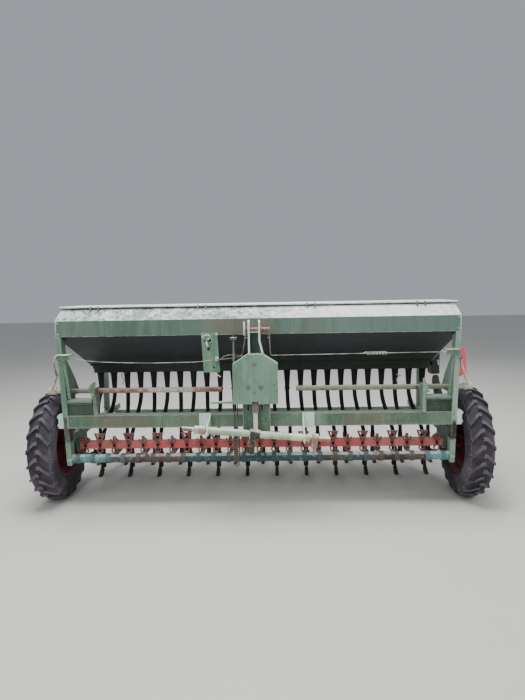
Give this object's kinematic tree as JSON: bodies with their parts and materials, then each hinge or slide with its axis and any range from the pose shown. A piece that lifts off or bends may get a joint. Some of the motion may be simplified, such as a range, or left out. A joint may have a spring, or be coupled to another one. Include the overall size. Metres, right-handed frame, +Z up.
{
  "type": "mounted seed drill",
  "caption": "Tractor mounted seed drill with a long lidded hopper, seed tubes, two ranks of sprung coulters and two lugged wheels beside them.",
  "frame": {"origin": "bottom centre of the machine's box, on the ground between the wheels and the rear step", "axes": "+X across the machine to its left hand side as seen from the tractor seat looking back, +Y to the rear, +Z up"},
  "size_m": [3, 1.344, 1.342],
  "materials": {
    "frame_green": "faded green paint, dusty, rust at the edges",
    "pale_green": "bleached pale green paint",
    "hopper_green": "weathered green paint with dust streaks",
    "dark_green": "dark green paint, dull",
    "faded_red": "faded red paint",
    "rim_red": "dark red paint",
    "tyre": "dry dusty rubber",
    "tube_rubber": "black rubber",
    "funnel_plastic": "black plastic",
    "worn_iron": "rusty worn iron",
    "bare_steel": "dull grey steel"
  },
  "bodies": {
    "frame": {"main_beam": "frame_green", "beam_end_plates": "pale_green", "side_post_left": "frame_green", "side_post_right": "frame_green", "side_rail_left": "frame_green", "side_rail_right": "frame_green", "rear_posts": "frame_green", "end_boxes": "dark_green", "front_stays": "frame_green", "stub_axle_left": "dark_green", "stub_axle_right": "dark_green", "hopper_front": "hopper_green", "hopper_rear": "hopper_green", "hopper_trough": "dark_green", "hopper_end_left": "hopper_green", "hopper_end_right": "hopper_green", "lid_hinges": "bare_steel", "agitator_shaft": "bare_steel", "metering_units": "dark_green", "metering_shaft": "bare_steel", "seed_funnels": "funnel_plastic", "seed_tubes": "tube_rubber", "pivot_tube": "worn_iron", "pressure_rail": "faded_red", "spring_hangers": "faded_red", "pressure_springs": "dark_green", "coulter_arms_front": "dark_green", "coulter_arms_rear": "dark_green", "shares_front": "worn_iron", "shares_rear": "worn_iron", "headstock_mast": "frame_green", "headstock_cover": "pale_green", "top_link_ears": "pale_green", "top_link_pin": "worn_iron", "hitch_plates": "pale_green", "hitch_bar": "worn_iron", "hitch_clamp": "frame_green", "hanging_spring": "frame_green", "hanging_plate": "frame_green", "marker_shaft_left": "frame_green", "marker_shaft_right": "frame_green", "marker_brackets": "frame_green", "rope_brackets": "frame_green", "wire_rope": "bare_steel", "rear_step": "dark_green", "drive_guard": "faded_red", "chain_case": "dark_green", "metering_gear": "dark_green"},
    "wheel_left": {"tyre_left": "tyre", "rim_left": "rim_red"},
    "wheel_right": {"tyre_right": "tyre", "rim_right": "rim_red"},
    "hopper_lid": {"lid": "hopper_green"}
  },
  "joints": [
    {"name": "wheel_left_spin", "type": "hinge", "parent": "frame", "child": "wheel_left", "pos_m": [-1.412, -0.228, 0.375], "axis": [1, 0, 0], "continuous": true},
    {"name": "wheel_right_spin", "type": "hinge", "parent": "frame", "child": "wheel_right", "pos_m": [1.412, -0.228, 0.375], "axis": [1, 0, 0], "continuous": true},
    {"name": "lid_hinge", "type": "hinge", "parent": "frame", "child": "hopper_lid", "pos_m": [0, -0.416, 1.332], "axis": [1, 0, 0], "range_deg": [0, 95]}
  ]
}
